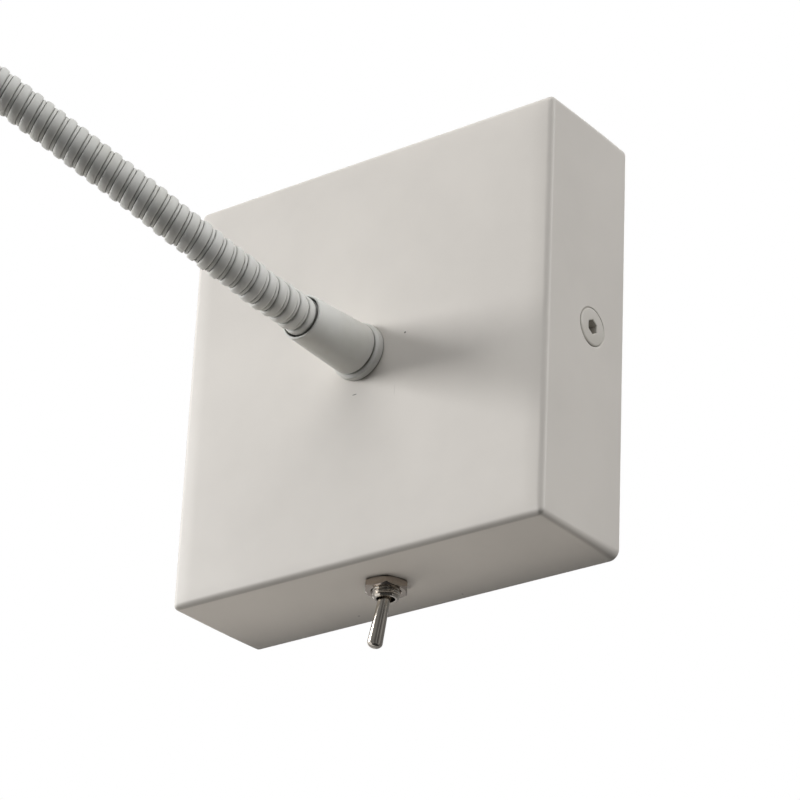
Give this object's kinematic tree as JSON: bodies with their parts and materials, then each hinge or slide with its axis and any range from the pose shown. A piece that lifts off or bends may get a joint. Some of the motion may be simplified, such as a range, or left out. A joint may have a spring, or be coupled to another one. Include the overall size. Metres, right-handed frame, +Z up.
{
  "type": "wall reading lamp",
  "caption": "Square wall box with a toggle switch underneath and a ribbed flexible arm that carries a small cylindrical lamp head.",
  "frame": {"origin": "middle of the wall plate's back, between the two wall screws, on the wall plane", "axes": "+Z up, +Y into the wall, the lamp stands out along -Y, +X to the right for somebody who faces the wall"},
  "size_m": [0.1673, 0.374, 0.1322],
  "materials": {
    "box_paint": "warm off-white powder coat, fine matte grain",
    "arm_paint": "light grey satin paint",
    "head_paint": "light grey satin paint on turned aluminium",
    "nickel": "nickel plate",
    "zinc": "zinc-plated steel",
    "brass": "turned brass",
    "black_plastic": "moulded black plastic",
    "white_plastic": "moulded white plastic",
    "bare_aluminium": "bare machined aluminium",
    "clear_lens": "clear moulded optic",
    "phosphor": "yellow phosphor dome"
  },
  "bodies": {
    "base": {"cover": "box_paint", "mounting_bracket": "zinc", "side_screws": "box_paint", "flange_nuts": "zinc", "cable_bush": "black_plastic", "terminal_block": "white_plastic", "terminal_sleeves": "brass", "terminal_screws": "zinc", "terminal_fixing_screw": "zinc", "earth_screw": "brass", "earth_washer": "brass", "driver_case": "white_plastic", "driver_lid": "white_plastic", "driver_screws": "zinc", "switch_frame": "zinc", "switch_body": "black_plastic", "switch_terminals": "brass", "switch_lock_washer": "zinc", "switch_bushing": "nickel", "switch_nut": "nickel", "base_collar": "arm_paint", "base_ferrule": "arm_paint", "arm_nipple": "brass", "nipple_washer": "zinc", "nipple_nut": "brass", "arm_stub": "arm_paint"},
    "switch_lever": {"switch_lever": "nickel"},
    "arm_01": {"arm_link_01": "arm_paint"},
    "arm_02": {"arm_link_02": "arm_paint"},
    "arm_03": {"arm_link_03": "arm_paint"},
    "arm_04": {"arm_link_04": "arm_paint"},
    "arm_05": {"arm_link_05": "arm_paint"},
    "arm_06": {"arm_link_06": "arm_paint"},
    "arm_07": {"arm_link_07": "arm_paint"},
    "arm_08": {"arm_link_08": "arm_paint"},
    "arm_09": {"arm_link_09": "arm_paint"},
    "arm_10": {"arm_link_10": "arm_paint"},
    "arm_11": {"arm_link_11": "arm_paint"},
    "arm_12": {"arm_link_12": "arm_paint"},
    "arm_13": {"arm_link_13": "arm_paint"},
    "arm_14": {"arm_link_14": "arm_paint"},
    "arm_15": {"arm_link_15": "arm_paint"},
    "arm_16": {"arm_link_16": "arm_paint"},
    "arm_17": {"arm_link_17": "arm_paint"},
    "arm_18": {"arm_link_18": "arm_paint"},
    "arm_19": {"arm_link_19": "arm_paint"},
    "arm_20": {"arm_link_20": "arm_paint"},
    "arm_21": {"arm_link_21": "arm_paint"},
    "arm_22": {"arm_link_22": "arm_paint", "head_ferrule": "arm_paint", "head_nipple": "brass", "head_nut": "brass", "head_cap": "head_paint", "head_tube": "head_paint", "heat_sink": "bare_aluminium", "led_board": "white_plastic", "board_screws": "zinc", "led_emitter": "phosphor", "lens": "clear_lens", "front_ring": "head_paint"}
  },
  "joints": [
    {"name": "switch_toggle", "type": "hinge", "parent": "base", "child": "switch_lever", "pos_m": [0, -0.0153, -0.0514], "axis": [0, -1, 0], "range_deg": [0, 23]},
    {"name": "arm_base_lift", "type": "hinge", "parent": "base", "child": "arm_01", "pos_m": [0, -0.0503, 0], "axis": [-1, 0, 0], "range_deg": [-15, 6]},
    {"name": "arm_base_swing", "type": "hinge", "parent": "arm_01", "child": "arm_02", "pos_m": [0, -0.05617, 0.00062], "axis": [0, -0.1045, -0.9945], "range_deg": [-15, 6]},
    {"name": "arm_base_lift_2", "type": "hinge", "parent": "arm_02", "child": "arm_03", "pos_m": [-0.00092, -0.06196, 0.00123], "axis": [-0.9877, 0.1556, -0.0164], "range_deg": [-15, 6]},
    {"name": "arm_base_swing_2", "type": "hinge", "parent": "arm_03", "child": "arm_04", "pos_m": [-0.00183, -0.06753, 0.00294], "axis": [-0.0298, -0.29, -0.9566], "range_deg": [-15, 6]},
    {"name": "arm_base_lift_3", "type": "hinge", "parent": "arm_04", "child": "arm_05", "pos_m": [-0.00359, -0.07291, 0.00463], "axis": [-0.9541, 0.2934, -0.0592], "range_deg": [-15, 6]},
    {"name": "arm_base_swing_3", "type": "hinge", "parent": "arm_05", "child": "arm_06", "pos_m": [-0.0053, -0.07797, 0.00713], "axis": [-0.0735, -0.4215, -0.9038], "range_deg": [-15, 6]},
    {"name": "arm_base_lift_4", "type": "hinge", "parent": "arm_06", "child": "arm_07", "pos_m": [-0.00773, -0.08276, 0.00956], "axis": [-0.9081, 0.4029, -0.114], "range_deg": [-15, 6]},
    {"name": "arm_base_swing_4", "type": "hinge", "parent": "arm_07", "child": "arm_08", "pos_m": [-0.01012, -0.08732, 0.01245], "axis": [-0.1092, -0.4907, -0.8645], "range_deg": [-15, 6]},
    {"name": "arm_tip_lift", "type": "hinge", "parent": "arm_08", "child": "arm_09", "pos_m": [-0.01282, -0.09173, 0.01529], "axis": [-0.8817, 0.4493, -0.1437], "range_deg": [-3, 9]},
    {"name": "arm_tip_swing", "type": "hinge", "parent": "arm_09", "child": "arm_10", "pos_m": [-0.02095, -0.10494, 0.02382], "axis": [-0.1092, -0.4907, -0.8645], "range_deg": [-6, 6]},
    {"name": "arm_tip_lift_2", "type": "hinge", "parent": "arm_10", "child": "arm_11", "pos_m": [-0.02907, -0.11815, 0.03234], "axis": [-0.8817, 0.4493, -0.1437], "range_deg": [-3, 9]},
    {"name": "arm_tip_swing_2", "type": "hinge", "parent": "arm_11", "child": "arm_12", "pos_m": [-0.03719, -0.13137, 0.04087], "axis": [-0.1092, -0.4907, -0.8645], "range_deg": [-6, 6]},
    {"name": "arm_tip_lift_3", "type": "hinge", "parent": "arm_12", "child": "arm_13", "pos_m": [-0.04532, -0.14458, 0.0494], "axis": [-0.8817, 0.4493, -0.1437], "range_deg": [-3, 9]},
    {"name": "arm_tip_swing_3", "type": "hinge", "parent": "arm_13", "child": "arm_14", "pos_m": [-0.05366, -0.15931, 0.05456], "axis": [-0.0114, -0.3248, -0.9457], "range_deg": [-6, 6]},
    {"name": "arm_tip_lift_4", "type": "hinge", "parent": "arm_14", "child": "arm_15", "pos_m": [-0.06104, -0.1745, 0.05986], "axis": [-0.9089, 0.3977, -0.1256], "range_deg": [-3, 9]},
    {"name": "arm_tip_swing_4", "type": "hinge", "parent": "arm_15", "child": "arm_16", "pos_m": [-0.0683, -0.19055, 0.06157], "axis": [0.0755, -0.1392, -0.9874], "range_deg": [-6, 6]},
    {"name": "arm_tip_lift_5", "type": "hinge", "parent": "arm_16", "child": "arm_17", "pos_m": [-0.07457, -0.207, 0.06341], "axis": [-0.9322, 0.3416, -0.1195], "range_deg": [-3, 9]},
    {"name": "arm_tip_swing_5", "type": "hinge", "parent": "arm_17", "child": "arm_18", "pos_m": [-0.08042, -0.22361, 0.06158], "axis": [0.1475, 0.057, -0.9874], "range_deg": [-6, 6]},
    {"name": "arm_tip_lift_6", "type": "hinge", "parent": "arm_18", "child": "arm_19", "pos_m": [-0.08525, -0.24055, 0.05988], "axis": [-0.9507, 0.2837, -0.1256], "range_deg": [-3, 9]},
    {"name": "arm_tip_swing_6", "type": "hinge", "parent": "arm_19", "child": "arm_20", "pos_m": [-0.08943, -0.25691, 0.05458], "axis": [0.201, 0.2548, -0.9459], "range_deg": [-6, 6]},
    {"name": "arm_tip_lift_7", "type": "hinge", "parent": "arm_20", "child": "arm_21", "pos_m": [-0.09258, -0.27355, 0.04943], "axis": [-0.9633, 0.2267, -0.1436], "range_deg": [-3, 9]},
    {"name": "arm_tip_swing_7", "type": "hinge", "parent": "arm_21", "child": "arm_22", "pos_m": [-0.09492, -0.28889, 0.04091], "axis": [0.2336, 0.4447, -0.8647], "range_deg": [-6, 6]}
  ],
  "couplings": [
    {"joint": "arm_base_lift_2", "follows": "arm_base_lift", "ratio": 1},
    {"joint": "arm_base_swing_2", "follows": "arm_base_swing", "ratio": 1},
    {"joint": "arm_base_lift_3", "follows": "arm_base_lift", "ratio": 1},
    {"joint": "arm_base_swing_3", "follows": "arm_base_swing", "ratio": 1},
    {"joint": "arm_base_lift_4", "follows": "arm_base_lift", "ratio": 1},
    {"joint": "arm_base_swing_4", "follows": "arm_base_swing", "ratio": 1},
    {"joint": "arm_tip_lift_2", "follows": "arm_tip_lift", "ratio": 1},
    {"joint": "arm_tip_swing_2", "follows": "arm_tip_swing", "ratio": 1},
    {"joint": "arm_tip_lift_3", "follows": "arm_tip_lift", "ratio": 1},
    {"joint": "arm_tip_swing_3", "follows": "arm_tip_swing", "ratio": 1},
    {"joint": "arm_tip_lift_4", "follows": "arm_tip_lift", "ratio": 1},
    {"joint": "arm_tip_swing_4", "follows": "arm_tip_swing", "ratio": 1},
    {"joint": "arm_tip_lift_5", "follows": "arm_tip_lift", "ratio": 1},
    {"joint": "arm_tip_swing_5", "follows": "arm_tip_swing", "ratio": 1},
    {"joint": "arm_tip_lift_6", "follows": "arm_tip_lift", "ratio": 1},
    {"joint": "arm_tip_swing_6", "follows": "arm_tip_swing", "ratio": 1},
    {"joint": "arm_tip_lift_7", "follows": "arm_tip_lift", "ratio": 1},
    {"joint": "arm_tip_swing_7", "follows": "arm_tip_swing", "ratio": 1}
  ]
}
